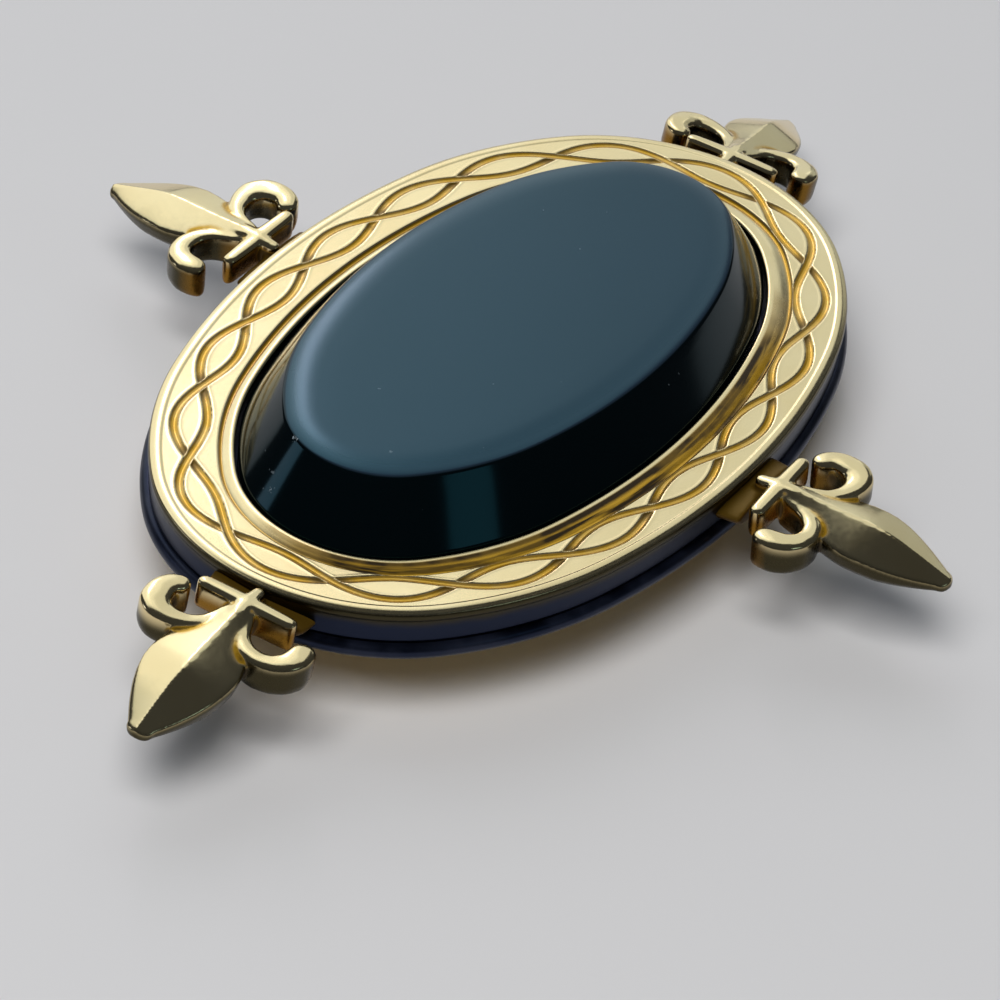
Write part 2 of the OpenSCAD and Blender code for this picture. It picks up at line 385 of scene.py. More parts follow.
def outline(arcs, places, inset, height=0.0, turn=0.0):
    """Points of an oval at those stations, set in from its edge."""
    arc, angle = places
    radius = arcs[arc, 2] - inset
    x = arcs[arc, 0] + radius * np.cos(angle)
    y = arcs[arc, 1] + radius * np.sin(angle)
    c, s = math.cos(turn), math.sin(turn)
    return np.column_stack([x * c - y * s, x * s + y * c, np.broadcast_to(height, x.shape)])


def rim_lift():
    """Millimetres from the resting surface to the top of the rim."""
    return bpy.context.scene.border_sizes.rim_height / MM


def border_oval():
    """The arcs of the border's outer edge, in millimetres."""
    sizes = bpy.context.scene.border_sizes
    return oval(sizes.half_length / MM, sizes.half_width / MM, sizes.end_radius / MM)


def skin(rows, columns, closed=False):
    """Quads between rows of closed outlines, with outward normals when the rows run from the bottom up."""
    last = rows if closed else rows - 1
    k, i = np.meshgrid(np.arange(last), np.arange(columns), indexing="ij")
    j, up = (i + 1) % columns, (k + 1) % rows
    corners = [k * columns + i, k * columns + j, up * columns + j, up * columns + i]
    return np.stack(corners, -1).reshape(-1, 4)


def lofted(outlines, closed=False):
    """Points and faces through outlines of one count; an open loft is capped at both ends."""
    rows, columns = len(outlines), len(outlines[0])
    faces = skin(rows, columns, closed).tolist()
    if not closed:
        faces.append(list(range(columns))[::-1])
        faces.append(list(range((rows - 1) * columns, rows * columns)))
    return np.concatenate(outlines), faces


def joined(parts):
    """Several points-and-faces as one."""
    points, faces, base = [], [], 0
    for part_points, part_faces in parts:
        points.append(part_points)
        faces += [[base + i for i in face] for face in part_faces]
        base += len(part_points)
    return np.concatenate(points), faces


def new_piece(name, points, faces, material, node, lift=0.0):
    """A smooth-shaded piece from points in millimetres, raised by the lift, which stands for a solid."""
    mesh = bpy.data.meshes.new(name)
    mesh.from_pydata(((points + [0, 0, lift]) * MM).tolist(), [], faces)
    mesh.polygons.foreach_set("use_smooth", [True] * len(mesh.polygons))
    mesh.materials.append(material)
    mesh.update()
    piece = bpy.data.objects.new(name, mesh)
    bpy.context.scene.collection.objects.link(piece)
    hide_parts(node)
    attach(piece, "root")
    return piece


def store(mesh, name, values, kind="FLOAT"):
    """Keeps a value for each vertex on the mesh, for its finish to read."""
    field = "vector" if kind == "FLOAT_VECTOR" else "value"
    layer = mesh.attributes.new(name, kind, "POINT")
    layer.data.foreach_set(field, np.ascontiguousarray(values, float).ravel())


class Finish:
    """A material in the making: its shader, and short ways to add nodes.

    A value may be a constant or another node's result.
    """

    def __init__(self, name):
        self.material = bpy.data.materials.new(name)
        self.material.use_nodes = True
        self.tree = self.material.node_tree
        self.tree.nodes.clear()
        self.shader = self.tree.nodes.new("ShaderNodeBsdfPrincipled")
        out = self.tree.nodes.new("ShaderNodeOutputMaterial")
        self.tree.links.new(self.shader.outputs[0], out.inputs[0])

    def give(self, socket, value):
        """Links a node's result to a socket, or sets the socket to a constant."""
        if isinstance(value, bpy.types.NodeSocket):
            self.tree.links.new(value, socket)
        else:
            socket.default_value = value

    def surface(self, name, value):
        """Gives the shader one of its values."""
        self.give(self.shader.inputs[name], value)

    def node(self, kind, inputs=None, **settings):
        """A node with its settings and its values."""
        made = self.tree.nodes.new(kind)
        for key, value in settings.items():
            setattr(made, key, value)
        for key, value in (inputs or {}).items():
            self.give(made.inputs[key], value)
        return made

    def maths(self, operation, *values, clamp=False):
        """The result of a sum."""
        made = self.node("ShaderNodeMath", dict(enumerate(values)), operation=operation, use_clamp=clamp)
        return made.outputs[0]

    def times(self, first, second, clamp=False):
        """One value times another."""
        return self.maths("MULTIPLY", first, second, clamp=clamp)

    def scaled(self, value, factor, added, clamp=False):
        """A value times a factor, plus another value."""
        return self.maths("MULTIPLY_ADD", value, factor, added, clamp=clamp)

    def most(self, first, second):
        """The larger of two values."""
        return self.maths("MAXIMUM", first, second)

    def away(self, value, middle):
        """How far a value lies from a middle, to either side."""
        return self.maths("ABSOLUTE", self.maths("SUBTRACT", value, middle))

    def fade(self, value, start, end):
        """0 up to the start, 1 from the end on and smooth between; the end may be below the start."""
        inputs = {"Value": value, "From Min": start, "From Max": end}
        return self.node("ShaderNodeMapRange", inputs, interpolation_type="SMOOTHSTEP").outputs["Result"]

    def within(self, value, low, high, soft_low, soft_high):
        """1 between two values, with a soft step of its own at each."""
        return self.times(self.fade(value, low, low + soft_low), self.fade(value, high, high - soft_high))

    def mixed(self, share, first, second):
        """A mix of two values."""
        return self.node("ShaderNodeMix", {0: share, 2: first, 3: second}, data_type="FLOAT").outputs[0]

    def mixed_colour(self, share, first, second):
        """A mix of two colours."""
        return self.node("ShaderNodeMix", {0: share, 6: first, 7: second}, data_type="RGBA").outputs[2]

    def split(self, vector):
        """The three parts of a vector."""
        return self.node("ShaderNodeSeparateXYZ", {0: vector}).outputs

    def place(self):
        """The place on the piece, in metres."""
        return self.node("ShaderNodeTexCoord").outputs["Object"]

    def upward(self):
        """How far the surface faces up: 1 on top, 0 on an upright side and -1 below."""
        return self.split(self.node("ShaderNodeNewGeometry").outputs["Normal"])[2]

    def stored(self, name, output="Fac"):
        """A value that the mesh keeps."""
        return self.node("ShaderNodeAttribute", attribute_name=name).outputs[output]

    def grain(self, scale, detail=2.0, stretch=(1, 1, 1), rough=0.5):
        """Noise over the piece; the scale is in features a millimetre."""
        moved = self.node("ShaderNodeMapping", {"Vector": self.place(), "Scale": [s / MM for s in stretch]})
        inputs = {"Vector": moved.outputs[0], "Scale": scale, "Detail": detail, "Roughness": rough}
        return self.node("ShaderNodeTexNoise", inputs).outputs["Fac"]

    def relief(self, height, strength, depth):
        """Fine relief, whose depth is in millimetres."""
        inputs = {"Height": height, "Strength": strength, "Distance": depth * MM}
        self.surface("Normal", self.node("ShaderNodeBump", inputs).outputs[0])


def gilt(name, wear_and_shade_on, roughness=0.2, relief=0.08):
    """Gilt metal: bright where it is polished, with painted shade, warm in hollows, brown in corners and dark
    on its sides.

    wear_and_shade_on(finish) gives the shares of painted warm shade, of painted brown shade with tarnished
    patches and of the painted dark side, and that side's colour.
    """
    colours = bpy.context.scene.brass_colours
    finish = Finish(name)
    warm, dirt_and_shade, side, side_shade_colour = wear_and_shade_on(finish)
    drift = finish.times(finish.grain(0.35, 3), 0.35)
    colour = finish.mixed_colour(drift, colours.bright[:], colours.warm[:])
    # Painted shade over the gilt: warm in hollows and cuts, the dark side colour on sides, brown in corners
    # and creases
    colour = finish.mixed_colour(warm, colour, colours.warm[:])
    colour = finish.mixed_colour(side, colour, side_shade_colour)
    colour = finish.mixed_colour(dirt_and_shade, colour, colours.tarnish_and_shade[:])
    finish.surface("Base Color", colour)
    # Where warm or brown shade is painted, and on tarnished patches, the metal looks less metallic
    finish.surface("Metallic", finish.scaled(finish.most(warm, dirt_and_shade), -0.38, 1.0))
    worn = finish.scaled(finish.grain(5, 4), 0.12, roughness - 0.06)
    worn = finish.scaled(dirt_and_shade, 0.3, worn)
    finish.surface("Roughness", finish.scaled(side, 0.12, worn, clamp=True))
    scratches = finish.grain(6, 3, (0.35, 1.6, 1))
    pits = finish.grain(14, 2)
    finish.relief(finish.scaled(pits, 0.6, scratches), relief, 0.02)
    return finish.material


def cut_shade(finish, inset):
    """Shares of the engraved band: painted warm shade in the floors of its cuts, and painted brown shade
    along and in them.
    """
    half = bpy.context.scene.border_sizes.cut_width / MM / 2
    first, second, over = finish.split(finish.stored("strand", "Vector"))
    first, second = (finish.maths("ABSOLUTE", distance) for distance in (first, second))
    first_over = finish.maths("GREATER_THAN", over, 0)
    upper = finish.mixed(first_over, second, first)
    lower = finish.mixed(first_over, first, second)
    # The lower cut stops short of the one that passes over it
    clear = finish.fade(upper, half - 0.01, half + 0.05)
    lower_floor = finish.times(finish.fade(lower, half + 0.01, half - 0.06), clear)
    floors = finish.most(finish.fade(upper, half + 0.01, half - 0.06), lower_floor)
    upper_line = finish.fade(finish.away(upper, half - 0.02), 0.04, 0.01)
    lower_line = finish.times(finish.fade(finish.away(lower, half - 0.02), 0.04, 0.01), clear)
    patches = finish.fade(finish.grain(1.3, 3), 0.34, 0.56)
    patches = finish.times(patches, finish.fade(finish.grain(7, 2), 0.3, 0.6))
    # Painted brown shade in patches along the edges of the cuts
    lines = finish.times(finish.most(upper_line, lower_line), patches)
    # Painted shadow in the lower cut where it runs against the upper one
    crossing_shade = finish.times(lower_floor, finish.fade(upper, half + 0.65, half + 0.1))
    crossing_shade = finish.times(crossing_shade, finish.fade(finish.grain(0.6, 3), 0.32, 0.5))
    in_band = finish.within(inset, RIM, CHANNEL + 0.04, 0.06, 0.06)
    streaks = finish.fade(finish.grain(0.8, 3), 0.3, 0.65)
    floors = finish.times(finish.times(floors, in_band), finish.scaled(streaks, 0.2, 0.8))
    return floors, finish.times(finish.most(lines, crossing_shade), in_band)


def channel_shade(finish, inset):
    """Shares of the hollow channel: painted warm shade along its outer edge and, towards the front of the
    brooch, over all of it, with painted brown shade there too.
    """
    outer = finish.within(inset, CHANNEL, 2.74, 0.03, 0.14)
    hollow = finish.within(inset, CHANNEL, 3.16, 0.06, 0.08)
    x, y, _ = finish.split(finish.place())
    across = finish.scaled(x, 0.3, y)
    # Painted shade over the front of the brooch, fading out towards the back along a wavering boundary
    front_shade = finish.fade(finish.scaled(finish.grain(0.3, 2), 4 * MM, across), 0.0, -5 * MM)
    warm = finish.most(outer, finish.times(hollow, front_shade))
    # The painted brown shade lies in streaks along the channel and fills both of its corners
    stretched = {0: finish.times(x, 240), 1: finish.times(y, 240), 2: finish.times(inset, 5)}
    along = finish.node("ShaderNodeCombineXYZ", stretched).outputs[0]
    trails = finish.node("ShaderNodeTexNoise", {"Vector": along, "Scale": 1.0, "Detail": 3}).outputs["Fac"]
    corners = finish.most(finish.fade(inset, 2.86, 3.02), finish.fade(inset, 2.62, 2.56))
    channel_dark_shade = finish.most(corners, finish.fade(trails, 0.4, 0.6))
    channel_dark_shade = finish.times(finish.times(channel_dark_shade, hollow), front_shade)
    patchy = finish.scaled(finish.fade(finish.grain(0.5, 3), 0.35, 0.65), 0.5, 0.75)
    return warm, finish.times(channel_dark_shade, patchy, clamp=True)


def border_shade(finish):
    """Painted shade of the border: its cuts, fine dark lines at the band's two edges, the channel and a dark
    side wall.
    """
    colours = bpy.context.scene.brass_colours
    inset = finish.stored("inset")
    height = finish.stored("height")
    floors, dirt_and_shade = cut_shade(finish, inset)
    # Painted brown lines in the creases at the band's two edges
    for place, half, share in ((0.5, 0.04, 0.1), (CHANNEL + 0.03, 0.035, 0.9)):
        line = finish.fade(finish.away(inset, place), half, half / 3)
        dirt_and_shade = finish.most(dirt_and_shade, finish.times(line, share))
    channel, channel_dark_shade = channel_shade(finish, inset)
    warm = finish.most(floors, channel)
    dirt_and_shade = finish.most(finish.times(dirt_and_shade, 0.75), channel_dark_shade)
    # Painted dark reflection on the side wall below the rim: the bluish side colour low down, olive near the
    # top
    wall = finish.times(finish.fade(height, -0.05, -0.15), finish.fade(inset, 0.3, 0.2))
    uneven = finish.scaled(finish.grain(0.3, 3), 0.5, height)
    wall_shade_colour = finish.mixed_colour(finish.fade(uneven, -0.6, -0.1), colours.side[:], colours.olive[:])
    return warm, dirt_and_shade, wall, wall_shade_colour


def casting_tarnish_and_shade(finish):
    """Painted shade of a fleur, with tarnished patches, from the hollows and sides that its mesh keeps."""
    colours = bpy.context.scene.brass_colours
    hollow = finish.stored("hollow")
    uneven = finish.grain(1.2, 3)
    # Painted warm shade in hollows, and brown shade in the deepest of them and on the foot
    warm = finish.fade(finish.scaled(uneven, 0.2, hollow), 0.12, 0.5)
    dirt_and_shade = finish.times(finish.fade(finish.scaled(uneven, 0.4, hollow), 0.5, 1.0), 0.8)
    # Painted shade on the sides: olive, turning to a warm amber reflection towards the border
    side_shade_colour = finish.mixed_colour(finish.stored("root"), colours.olive[:], colours.amber[:])
    return warm, dirt_and_shade, finish.stored("side"), side_shade_colour


def plain_wear(finish, side=0.25):
    """Wear of the plain back: a few uneven tarnished patches, with the dark side colour mixed in alike all
    over unless a share is given.
    """
    uneven = finish.grain(0.5, 4)
    dirt_and_shade = finish.times(finish.fade(uneven, 0.6, 0.9), 0.3)
    return finish.fade(uneven, 0.35, 0.75), dirt_and_shade, side, bpy.context.scene.brass_colours.side[:]


def plate_wear_and_shade(finish):
    """Wear of the back plate: the painted dark side colour round its edge, plain gilt below."""
    return plain_wear(finish, finish.fade(finish.upward(), -0.95, -0.7))


def chips_and_dust(finish):
    """Small chips along the table's edge and grains of dust on it."""
    ragged = finish.grain(8, 3, (1, 2.2, 1), 0.7)
    found = finish.times(finish.fade(finish.grain(2.2, 2), 0.76, 0.8), 0.25)
    for place, radius in CHIPS:
        ends = {0: finish.place(), 1: [c * MM for c in place]}
        distance = finish.node("ShaderNodeVectorMath", ends, operation="DISTANCE").outputs["Value"]
        near = finish.scaled(ragged, 1.6, finish.scaled(distance, -1 / (radius * MM), 1.0))
        found = finish.most(found, finish.fade(near, 1.62, 1.72))
    return found


def polished_stone():
    """Black-green stone: a satin table with a painted sheen along its edge, a brighter polish on the bevel
    and faint smears.
    """
    colours = bpy.context.scene.stone_colours
    finish = Finish("polished_onyx")
    up = finish.upward()
    flat = finish.fade(up, 0.9, 0.995)
    # The table's edge gets a painted sheen, a paler colour where the surface tips away from flat
    edge = finish.times(finish.fade(up, 0.8, 0.95), finish.fade(up, 0.9999, 0.985))
    specks = chips_and_dust(finish)
    table = finish.mixed_colour(finish.grain(0.12, 4), colours.table[:], colours.cloud[:])
    colour = finish.mixed_colour(flat, colours.body[:], table)
    colour = finish.mixed_colour(finish.times(edge, 0.6), colour, colours.edge[:])
    finish.surface("Base Color", finish.mixed_colour(specks, colour, colours.chip[:]))
    smears = finish.times(finish.grain(0.3, 4, (1, 1.6, 1)), flat)
    rough = finish.scaled(smears, 0.04, finish.scaled(flat, 0.09, 0.1))
    finish.surface("Roughness", finish.scaled(specks, 0.4, rough))
    finish.surface("IOR", 1.54)
    finish.surface("Specular Tint", colours.shine[:])
    finish.surface("Specular IOR Level", finish.scaled(flat, 0.42, 0.2))
    finish.relief(finish.grain(12, 2), 0.02, 0.01)
    return finish.material


def border_section():
    """The border's section from its foot up the wall, over the rim and the lip and down: inset and height."""
    wall = [(0.1, z) for z in (FOOT, -1.35, -1.1, -0.85, -0.62, -0.47)] + [(0.06, -0.41), (0.015, -0.35)]
    quarter = np.radians(np.linspace(0, 90, 7))
    arch = [(0.12 - 0.12 * math.cos(a), -0.26 + 0.2 * math.sin(a)) for a in quarter]
    arch += [(0.17, -0.035), (0.23, -0.015), (0.32, -0.004)]
    step = [(0.42 + 0.13 * t, BAND * t * t * (3 - 2 * t)) for t in np.linspace(0, 1, 12)]
    band = [(d, BAND) for d in np.linspace(RIM - 0.02, CHANNEL - 0.03, 46)]
    edge = [(CHANNEL, BAND - 0.02), (CHANNEL + 0.03, BAND - 0.07), (CHANNEL + 0.07, BAND - 0.1)]
    hollow = [(2.62 + 0.6 * t, -0.02 - 0.15 * (1 - t) ** 1.8) for t in np.linspace(0, 1, 11)]
    crown = [(3.27, -0.024), (3.31, -0.042), (3.34, -0.075)]
    inner = [(LIP, z) for z in (-0.12, -0.3, -0.8, FOOT)]
    return np.array(wall + arch + step + band + edge + hollow + crown + inner)


def waves(sizes, inset, length):
    """Distances from the two engraved waves, and above 0 where the first lies over the second."""
    swing = sizes.swing / MM
    phase = math.pi * (np.arange(sizes.stations) * sizes.crossings / sizes.stations)
    slope = swing * math.pi * sizes.crossings / length * np.sin(phase)
    lean = 1 / np.sqrt(1 + slope**2)
    wave = swing * np.cos(phase)
    from_middle = inset - (RIM + CHANNEL) / 2
    over = np.broadcast_to(np.sin(phase), inset.shape)
    return (from_middle - wave) * lean, (from_middle + wave) * lean, over


def engraving(sizes, first, second, over):
    """Heights of the engraving: a round-bottomed cut along each wave, the upper one unbroken."""
    half, depth = sizes.cut_width / MM / 2, sizes.cut_depth / MM
    upper = np.where(over > 0, np.abs(first), np.abs(second))
    lower = np.where(over > 0, np.abs(second), np.abs(first))

    def cut(away):
        burr = 0.007 * np.exp(-(((away - half - 0.06) / 0.05) ** 2))
        return burr - depth * (1 - np.clip(away / half, 0, 1) ** 2.2)

    clear = np.clip((upper - half - 0.01) / 0.06, 0, 1)
    clear = clear * clear * (3 - 2 * clear)
    return cut(upper) + clear * cut(lower)


class BROOCH_OT_border(bpy.types.Operator):
    """Make the engraved border: side wall, rounded rim, band with two waves, channel and lip"""

    bl_idname = "brooch.border"
    bl_label = "Engraved Border"

    def execute(self, context):
        sizes = context.scene.border_sizes
        arcs = border_oval()
        places, length = places_round(arcs, (RIM + CHANNEL) / 2, sizes.stations)
        section = border_section()
        inset = np.repeat(section[:, :1], sizes.stations, 1)
        height = np.repeat(section[:, 1:], sizes.stations, 1)
        # The channel was turned a little off the middle: its outer edge lies further in behind than in front
        off_middle = 0.26
        pull = np.interp(section[:, 0], [2.0, CHANNEL, CHANNEL + 0.1, 3.2], [0, 1, 1, 0])
        place = inset + off_middle * pull[:, None] * np.sin(places[1])
        first, second, over = waves(sizes, place, length)
        engraved = (inset > RIM + 0.01) & (inset < CHANNEL)
        height = height + np.where(engraved, engraving(sizes, first, second, over), 0)
        rows = [outline(arcs, places, d, z) for d, z in zip(place, height)]
        material = gilt("engraved_gilt", border_shade, 0.2, 0.04)
        points, faces = lofted(rows, closed=True)
        border = new_piece("border", points, faces, material, "frame", rim_lift())
        store(border.data, "inset", inset)
        store(border.data, "height", height)
        store(border.data, "strand", np.stack([first, second, over], -1), "FLOAT_VECTOR")
        return {"FINISHED"}


def smooth_run(known, values, wanted):
    """Values between known ones, without corners."""
    dense = np.linspace(known[0], known[-1], 241)
    run = np.interp(dense, known, values)
    for _ in range(60):
        run[1:-1] = (run[:-2] + 2 * run[1:-1] + run[2:]) / 4
    return np.interp(wanted, dense, run)


def half_round(half, top, bottom, steps=12):
    """A section with an arched top and sides that draw in below: across, height."""
    a = np.linspace(0, math.pi, steps + 1)
    crown = min(0.6 * half, 0.24)
    arch = np.sign(np.cos(a)) * np.abs(np.cos(a)) ** 0.66
    side = half * np.array([0.6, 0.86, 0.98])
    foot = bottom + np.array([0, 0.14, 0.4])
    x = np.concatenate([side, half * arch, -side[::-1]])
    z = np.concatenate([foot, top - crown + crown * np.sin(a) ** 0.9, foot[::-1]])
    return x, z


def end_rounded(centre, along, half, top, side):
    """Adds stations beyond one end of a rail whose widths close it in a half circle."""
    if side < 0:
        centre, along, half, top = (run[::-1] for run in (centre, along, half, top))
    radius = half[-1]
    a = np.radians([25, 45, 62, 76, 86])
    centre = np.concatenate([centre, centre[-1] + side * along[-1] * (radius * np.sin(a))[:, None]])
    along = np.concatenate([along, np.repeat(along[-1:], len(a), 0)])
    half = np.concatenate([half, radius * np.cos(a)])
    top = np.concatenate([top, top[-1] - 0.3 * radius * (1 - np.cos(a))])
    if side < 0:
        centre, along, half, top = (run[::-1] for run in (centre, along, half, top))
    return centre, along, half, top


def rail(stations, bottom, rounded=(True, True)):
    """A rail through stations of out, across, half width and top, which may have rounded ends."""
    stations = np.array(stations, float)
    known = np.linspace(0, 1, len(stations))
    fine = np.linspace(0, 1, 6 * len(stations))
    u, v, half, top = (smooth_run(known, values, fine) for values in stations.T)
    centre = np.stack([u, v], -1)
    along = np.gradient(centre, axis=0)
    along /= np.linalg.norm(along, axis=1)[:, None]
    for side, is_round in zip((-1, 1), rounded):
        if is_round:
            centre, along, half, top = end_rounded(centre, along, half, top, side)
    rings = []
    for c, a, h, z in zip(centre, along, half, top):
        x, height = half_round(h, z, bottom)
        rings.append(np.column_stack([c[0] - a[1] * x, c[1] + a[0] * x, height]))
    return lofted(rings)


def middle_petal(width):
    """A leaf with a soft ridge along it, whose slopes fall to a rounded edge and a blunt tip."""
    tip = np.radians([15, 30, 45, 60, 72, 82, 89])
    blade = np.linspace(1.6, 8.3, 44)
    u = np.concatenate([blade, blade[-1] + 0.42 * np.sin(tip)])
    places, shares = PETAL_WIDTH
    half = smooth_run(places, np.array(shares) * width / 2, u)
    half[len(blade):] = half[len(blade) - 1] * np.cos(tip)
    ridge = smooth_run(*PETAL_RIDGE, u)
    fall = smooth_run(*PETAL_FALL, u) * half / (width / 2)
    thickness = smooth_run(*PETAL_THICKNESS, u)
    t = np.linspace(0, 1, 9)
    convex = 0.9 * t + 0.1 * (1 - (1 - t) ** 2.4)
    rings = []
    for x, h, top, down, thick in zip(u, half, ridge, fall, thickness):
        edge = top - down - 0.04
        v = np.concatenate([h * np.array([0.8, 0.95, 1.02]), h * (1 - t)])
        z = np.concatenate([edge - thick * np.array([1, 0.7, 0.2]), edge + (down + 0.04) * convex])
        v = np.concatenate([v, -v[:-1][::-1]])
        z = np.concatenate([z, z[:-1][::-1]])
        rings.append(np.column_stack([np.full_like(v, x), v, z]))
    return lofted(rings)


def side_petal(curl, side, depth):
    """A ribbon that leaves the stem and curls round its eye."""
    stations = [(out, side * across, half, top) for out, across, half, top in curl]
    return rail(stations, -0.3 - depth, (False, True))


def fleur_metal(sizes, petal, closed_side):
    """Every part of one fleur, overlapping: foot, bar, stem and three petals."""
    depth = sizes.depth / MM
    bar_end = sizes.bar_length / MM / 2 - 0.33
    foot = [(-0.6, 0, 2.3, -0.6), (0.45, 0, 2.2, -0.66)]
    bar = [(1.05, -bar_end, 0.34, -0.06), (1.05, 0, 0.38, -0.02), (1.05, bar_end, 0.32, -0.06)]
    stem = [(0.3, 0, 0.3, -0.08), (1.0, 0, 0.33, 0), (1.7, 0, 0.38, -0.04)]
    stem += [(2.3, 0, 0.42, -0.16), (2.9, 0, 0.36, -0.34)]
    parts = [rail(foot, UNDERSIDE, (False, False)), rail(bar, UNDERSIDE), rail(stem, UNDERSIDE)]
    for side in (1, -1):
        parts.append(side_petal(CLOSED_CURL if side == closed_side else OPEN_CURL, side, depth))
    parts.append(middle_petal(sizes.petal_width / MM * petal))
    return joined(parts)


def melted(points, faces, cell, rounds):
    """One closed skin round overlapping parts, smoothed as cast metal is."""
    mesh = bpy.data.meshes.new("casting")
    mesh.from_pydata(points.tolist(), [], faces)
    casting = bpy.data.objects.new("casting", mesh)
    bpy.context.scene.collection.objects.link(casting)
    remesh = casting.modifiers.new("join", "REMESH")
    remesh.mode = "VOXEL"
    remesh.voxel_size = cell
    remesh.adaptivity = 0
    smooth = casting.modifiers.new("smooth", "SMOOTH")
    smooth.factor = 0.5
    smooth.iterations = rounds
    done = bpy.data.meshes.new_from_object(casting.evaluated_get(bpy.context.evaluated_depsgraph_get()))
    bpy.data.objects.remove(casting)
    made = np.empty(len(done.vertices) * 3)
    done.vertices.foreach_get("co", made)
    return made.reshape(-1, 3), [list(face.vertices) for face in done.polygons]


def hollows_and_sides(mesh, rim_z):
    """Where a casting is hollow, and where it is a side low down that turns away from above; both carry
    painted shade.
    """
    points = np.empty(len(mesh.vertices) * 3)
    normals = np.empty(len(mesh.vertices) * 3)
    mesh.vertices.foreach_get("co", points)
    mesh.vertices.foreach_get("normal", normals)
    edges = np.empty(len(mesh.edges) * 2, int)
    mesh.edges.foreach_get("vertices", edges)
    points, normals, edges = points.reshape(-1, 3), normals.reshape(-1, 3), edges.reshape(-1, 2)
    count = np.bincount(edges.ravel(), minlength=len(points))[:, None]

    def averaged(values, rounds):
        for _ in range(rounds):
            total = np.stack([
                np.bincount(edges[:, 0], values[edges[:, 1], k], len(points))
                + np.bincount(edges[:, 1], values[edges[:, 0], k], len(points))
                for k in range(values.shape[1])
            ], -1)
            values = total / count
        return values

    # A vertex that lies below the average of the metal round it is in a hollow
    hollow = np.sum((averaged(points, 24) - points) * normals, 1)[:, None] / (0.06 * MM)
    # Sides that turn away from straight up and lie below the rim's top get painted shade
    depth = (rim_z - points[:, 2:]) / MM
    side = np.clip((0.7 - normals[:, 2:]) / 0.4, 0, 1) * np.clip((depth - 0.15) / 0.45, 0, 1)
    return np.clip(averaged(hollow, 2), 0, 1), averaged(side, 3)


def seat_of(direction, reach, shift, turns):
    """The move from a fleur's own directions to its seat on the border."""
    seat = Matrix.Rotation(math.radians(direction), 4, "Z")
    seat = seat @ Matrix.Translation((reach + shift[0], shift[1], PIVOT))
    for angle, axis in zip(turns, "ZXY"):
        seat = seat @ Matrix.Rotation(math.radians(angle), 4, axis)
    return np.array(seat @ Matrix.Translation((0, 0, -PIVOT)))


class BROOCH_OT_fleurs(bpy.types.Operator):
    """Cast the four fleurs-de-lis and set each on its end of an axis"""

    bl_idname = "brooch.fleurs"
    bl_label = "Fleurs-de-lis"

    def execute(self, context):
        sizes, border = context.scene.fleur_sizes, context.scene.border_sizes
        material = gilt("cast_gilt", casting_tarnish_and_shade, 0.15, 0.025)
        for name, direction, shift, turns, petal, closed_side in SEATS:
            metal = fleur_metal(sizes, petal, closed_side)
            points, faces = melted(*metal, sizes.voxel / MM, sizes.melting)
            # The painted side shade turns from olive to a warm amber reflection towards the border, and the
            # foot gets painted shade
            root = np.clip(2.4 - points[:, 0], 0, 1)
            foot = np.clip((0.72 - points[:, 0]) / 0.15, 0, 1) * np.clip((-0.3 - points[:, 2]) / 0.1, 0, 1)
            reach = (border.half_length if direction % 180 == 0 else border.half_width) / MM
            seat = seat_of(direction, reach, shift, turns)
            points = points @ seat[:3, :3].T + seat[:3, 3]
            fleur = new_piece(name, points, faces, material, "frame", rim_lift())
            hollow, side = hollows_and_sides(fleur.data, border.rim_height)
            store(fleur.data, "root", root)
            # The foot's painted shade is kept with the hollows
            store(fleur.data, "hollow", np.maximum(hollow[:, 0], 0.8 * foot))
            store(fleur.data, "side", side)
        return {"FINISHED"}


def tablet_rows(sizes):
    """Outlines of the stone from its underside up the girdle and the bevel and over the edge to the table."""
    girdle = border_oval()
    table = oval(sizes.table_length / MM / 2, sizes.table_width / MM / 2, sizes.table_radius / MM)
    places, _ = places_round(girdle, GIRDLE, 384)
    rise = (STONE_TOP - bpy.context.scene.border_sizes.rim_height) / MM
    rows = [outline(girdle, places, GIRDLE, z) for z in (FOOT, -0.8, -0.2)]
    low = outline(girdle, places, GIRDLE, -0.1)
    high = outline(table, places, 0, rise - 0.12, sizes.table_turn)
    bevel = high - low
    rows += [low + bevel * t for t in (0, 0.04, 0.2, 0.4, 0.6, 0.8)]
    # The edge is a small arc that touches the bevel and the table
    run = np.linalg.norm(bevel[:, :2], axis=1)[:, None]
    inward = np.concatenate([bevel[:, :2] / run, np.zeros((len(run), 1))], 1)
    lean = np.arctan2(rise + 0.1, run)
    soft = sizes.edge / MM
    back = soft * np.tan(lean / 2)
    for t in np.linspace(0, 1, 7):
        a = lean + (0.2 - lean) * t
        rows.append(high + inward * (back - soft * np.sin(a)) - np.array([0, 0, 1]) * soft * (1 - np.cos(a)))
    # Polishing has rounded the table off a little towards its edge
    for inset in (0.25, 0.45, 0.7, 1.0, 1.3, 2.2, 3.2):
        fall = 0.14 * max(0, 1 - inset / 1.3) ** 2
        rows.append(outline(table, places, inset, rise - fall, sizes.table_turn))
    return rows


class BROOCH_OT_stone(bpy.types.Operator):
    """Cut and polish the stone: an upright girdle, a steep bevel and a flat table with a soft edge"""

    bl_idname = "brooch.stone"
    bl_label = "Stone"

    def execute(self, context):
        points, faces = lofted(tablet_rows(context.scene.stone_sizes))
        new_piece("stone_tablet", points, faces, polished_stone(), "stone", rim_lift())
        return {"FINISHED"}


